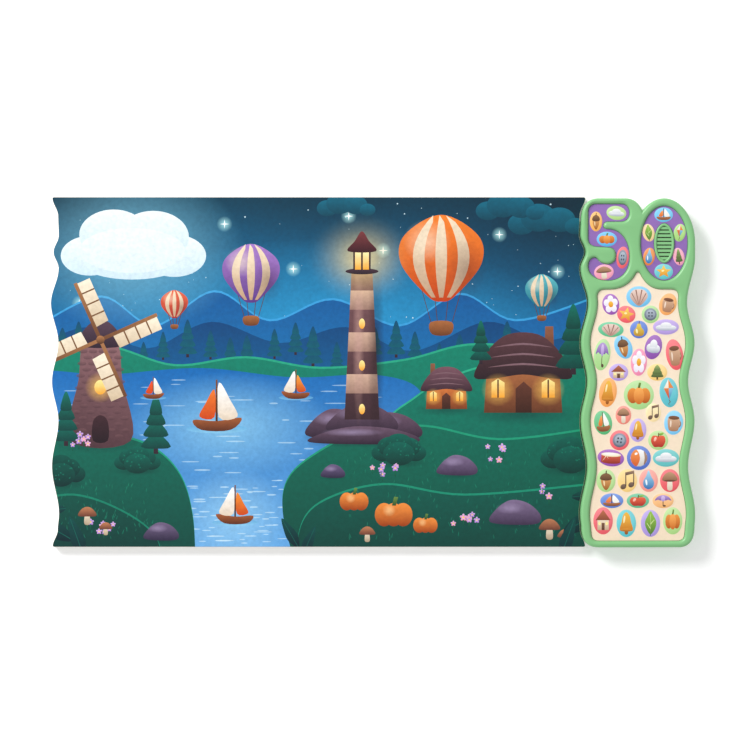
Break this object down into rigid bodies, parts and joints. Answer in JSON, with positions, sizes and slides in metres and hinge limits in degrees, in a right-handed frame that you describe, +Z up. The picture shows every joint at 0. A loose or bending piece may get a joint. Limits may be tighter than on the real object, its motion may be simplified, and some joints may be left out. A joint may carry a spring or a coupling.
{
  "type": "sound book",
  "caption": "Open children's board book with wavy fore edges and a moulded battery sound module of raised oval film keys along the right side.",
  "frame": {"origin": "under the middle of the open book, on the surface that it lies on", "axes": "+X to the reader's right, across both pages to the module; +Y to the top of the pages; +Z up out of the page"},
  "size_m": [0.4874, 0.265, 0.0185],
  "materials": {
    "cover_print": "printed board, satin varnish",
    "page_print": "printed board, satin varnish",
    "green_housing": "moulded ABS, fine satin",
    "digit_film": "printed film, soft gloss",
    "field_film": "printed film, soft gloss",
    "membrane": "clear film with printed contacts",
    "circuit": "solder mask over glass laminate",
    "black_plastic": "moulded",
    "capacitor_sleeve": "shrunk sleeve",
    "steel": "bright nickel plate",
    "dark_steel": "black zinc plate",
    "cone_paper": "pressed paper",
    "red_wire": "PVC insulation",
    "black_wire": "PVC insulation"
  },
  "bodies": {
    "module_half": {"back_cover": "cover_print", "battery_door": "green_housing", "battery_wire_minus": "black_wire", "battery_wire_plus": "red_wire", "board_screw_1": "dark_steel", "board_screw_2": "dark_steel", "button_cell_1": "steel", "button_cell_2": "steel", "button_cell_3": "steel", "capacitor": "capacitor_sleeve", "circuit_board": "circuit", "contact_bridge_lower": "steel", "contact_bridge_upper": "steel", "contact_minus": "steel", "contact_plus": "steel", "door_screw": "dark_steel", "front_housing": "green_housing", "housing_screw_1": "dark_steel", "housing_screw_2": "dark_steel", "housing_screw_3": "dark_steel", "housing_screw_4": "dark_steel", "housing_screw_5": "dark_steel", "housing_screw_6": "dark_steel", "housing_screw_7": "dark_steel", "housing_screw_8": "dark_steel", "key_membrane_five": "membrane", "key_membrane_main": "membrane", "key_membrane_zero": "membrane", "overlay_five": "digit_film", "overlay_main": "field_film", "overlay_zero": "digit_film", "rear_housing": "green_housing", "right_pages": "page_print", "sound_chip": "black_plastic", "speaker_cone": "cone_paper", "speaker_frame": "steel", "speaker_magnet": "dark_steel", "speaker_wire_minus": "black_wire", "speaker_wire_plus": "red_wire", "switch_body": "steel"},
    "front_half": {"front_cover": "cover_print", "left_pages": "page_print"},
    "switch_knob": {"switch_knob": "black_plastic"}
  },
  "joints": [
    {"name": "cover_hinge", "type": "hinge", "parent": "module_half", "child": "front_half", "pos_m": [-0.04065, 0, 0.0085], "axis": [0, 1, 0], "range_deg": [0, 180]},
    {"name": "power_switch", "type": "slide", "parent": "module_half", "child": "switch_knob", "axis": [1, 0, 0], "range_m": [0, 0.004]}
  ]
}
